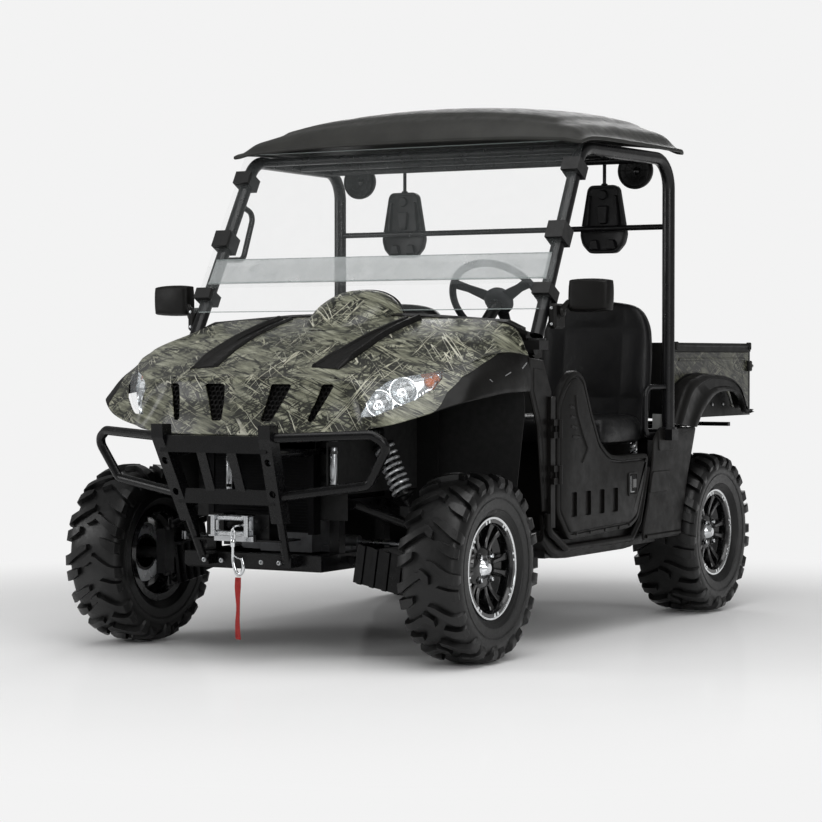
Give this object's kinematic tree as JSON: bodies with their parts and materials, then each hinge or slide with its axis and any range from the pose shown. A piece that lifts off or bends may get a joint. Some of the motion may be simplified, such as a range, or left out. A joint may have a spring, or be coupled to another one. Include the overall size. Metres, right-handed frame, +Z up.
{
  "type": "side by side utility vehicle",
  "caption": "Side by side utility vehicle with roll cage, hard roof, half doors, camouflage bodywork, winch bumper, off-road wheels and a tipping bed",
  "frame": {"origin": "bottom centre of the bounding box, on the ground under the middle of the overall length", "axes": "+X to the vehicle's left, -Y forward, +Z up"},
  "size_m": [1.922, 2.997, 1.991],
  "materials": {
    "frame_steel": "satin black powder coat",
    "cage_steel": "satin black powder coat on tube",
    "skid_plastic": "matt black plate",
    "roof_plastic": "grained dark grey moulding",
    "clear_sheet": "clear polycarbonate sheet",
    "clamp_rubber": "matt black rubber",
    "camo_plastic": "olive grey moulding with a reed camouflage film",
    "black_plastic": "grained black moulding",
    "gloss_black": "smooth black moulding",
    "lamp_lens": "clear moulded lens",
    "lamp_chrome": "bright vacuum-metallised housing",
    "floor_plastic": "ribbed black floor liner",
    "seat_vinyl": "black vinyl with sewn seams",
    "bright_steel": "zinc plated steel",
    "strap_webbing": "red woven webbing",
    "chrome_steel": "polished steel",
    "radiator_metal": "dark finned core",
    "cast_alloy": "raw casting",
    "cast_iron": "dark casting",
    "spring_steel": "silver grey coil",
    "wheel_foam": "moulded dark grey rim",
    "black_alloy": "gloss black alloy with a machined lip",
    "tyre_rubber": "black rubber",
    "bed_plastic": "black moulded bed with a camouflage side",
    "red_lens": "red lens"
  },
  "bodies": {
    "chassis": {"main_frame": "frame_steel", "skid_plate": "skid_plastic", "roll_cage": "cage_steel", "roof_shell": "roof_plastic", "windshield_panels": "clear_sheet", "windshield_clamps": "clamp_rubber", "hood_panel": "camo_plastic", "nose_panel": "camo_plastic", "grille_mesh": "black_plastic", "headlamp_lenses": "lamp_lens", "headlamp_housings": "lamp_chrome", "front_fenders": "black_plastic", "hood_vents": "black_plastic", "cowl_trim": "black_plastic", "dashboard": "black_plastic", "floor_pan": "floor_plastic", "seat_box": "black_plastic", "seat_cushions": "seat_vinyl", "seat_backs": "seat_vinyl", "headrests": "black_plastic", "hip_bars": "cage_steel", "speakers": "black_plastic", "mirrors": "gloss_black", "steering_column": "frame_steel", "door_frames": "black_plastic", "side_panels": "black_plastic", "rear_fenders": "black_plastic", "front_bumper": "cage_steel", "winch": "frame_steel", "roller_fairlead": "bright_steel", "winch_hook": "chrome_steel", "hook_strap": "strap_webbing", "radiator": "radiator_metal", "engine_block": "cast_alloy", "drive_housings": "cast_alloy", "front_arms": "frame_steel", "rear_arms": "frame_steel", "front_shocks": "spring_steel", "rear_shocks": "spring_steel", "rear_carriers": "cast_iron", "rack_housing": "cast_alloy"},
    "steering_rack": {"tie_rods": "bright_steel"},
    "steering_wheel": {"steering_wheel": "wheel_foam"},
    "left_knuckle": {"left_knuckle": "cast_iron"},
    "right_knuckle": {"right_knuckle": "cast_iron"},
    "front_left_wheel": {"front_left_tyre": "tyre_rubber", "front_left_rim": "black_alloy"},
    "front_right_wheel": {"front_right_tyre": "tyre_rubber", "front_right_rim": "black_alloy"},
    "rear_left_wheel": {"rear_left_tyre": "tyre_rubber", "rear_left_rim": "black_alloy"},
    "rear_right_wheel": {"rear_right_tyre": "tyre_rubber", "rear_right_rim": "black_alloy"},
    "left_door": {"left_door": "black_plastic"},
    "right_door": {"right_door": "black_plastic"},
    "cargo_bed": {"bed_tub": "bed_plastic", "tailgate_hinges": "frame_steel", "tail_lamps": "red_lens"},
    "tailgate": {"tailgate": "bed_plastic"}
  },
  "joints": [
    {"name": "left_steer", "type": "hinge", "parent": "chassis", "child": "left_knuckle", "pos_m": [0.5545, -0.9535, 0.3175], "axis": [0, 0, 1], "range_deg": [-30, 30]},
    {"name": "right_steer", "type": "hinge", "parent": "chassis", "child": "right_knuckle", "pos_m": [-0.5545, -0.9535, 0.3175], "axis": [0, 0, 1], "range_deg": [-30, 30]},
    {"name": "steering_wheel_turn", "type": "hinge", "parent": "chassis", "child": "steering_wheel", "pos_m": [0.4, -0.2275, 1.218], "axis": [0, 0.788, 0.6157], "range_deg": [-270, 270]},
    {"name": "rack_slide", "type": "slide", "parent": "chassis", "child": "steering_rack", "axis": [1, 0, 0], "range_m": [-0.062, 0.062]},
    {"name": "front_left_spin", "type": "hinge", "parent": "left_knuckle", "child": "front_left_wheel", "pos_m": [0.6745, -0.9535, 0.3175], "axis": [1, 0, 0], "continuous": true},
    {"name": "front_right_spin", "type": "hinge", "parent": "right_knuckle", "child": "front_right_wheel", "pos_m": [-0.6745, -0.9535, 0.3175], "axis": [1, 0, 0], "continuous": true},
    {"name": "rear_left_spin", "type": "hinge", "parent": "chassis", "child": "rear_left_wheel", "pos_m": [0.637, 1.0015, 0.3175], "axis": [1, 0, 0], "continuous": true},
    {"name": "rear_right_spin", "type": "hinge", "parent": "chassis", "child": "rear_right_wheel", "pos_m": [-0.637, 1.0015, 0.3175], "axis": [1, 0, 0], "continuous": true},
    {"name": "left_door_swing", "type": "hinge", "parent": "chassis", "child": "left_door", "pos_m": [0.742, -0.4105, 0.687], "axis": [0, 0, 1], "range_deg": [-65, 0]},
    {"name": "right_door_swing", "type": "hinge", "parent": "chassis", "child": "right_door", "pos_m": [-0.742, -0.4105, 0.687], "axis": [0, 0, 1], "range_deg": [0, 65]},
    {"name": "bed_tip", "type": "hinge", "parent": "chassis", "child": "cargo_bed", "pos_m": [0, 1.3465, 0.64], "axis": [1, 0, 0], "range_deg": [-42, 0]},
    {"name": "tailgate_drop", "type": "hinge", "parent": "cargo_bed", "child": "tailgate", "pos_m": [0, 1.4905, 0.782], "axis": [1, 0, 0], "range_deg": [-90, 0]}
  ],
  "couplings": [
    {"joint": "right_steer", "follows": "left_steer", "ratio": 1},
    {"joint": "steering_wheel_turn", "follows": "left_steer", "ratio": 9},
    {"joint": "rack_slide", "follows": "left_steer", "m_per_rad": -0.11}
  ]
}
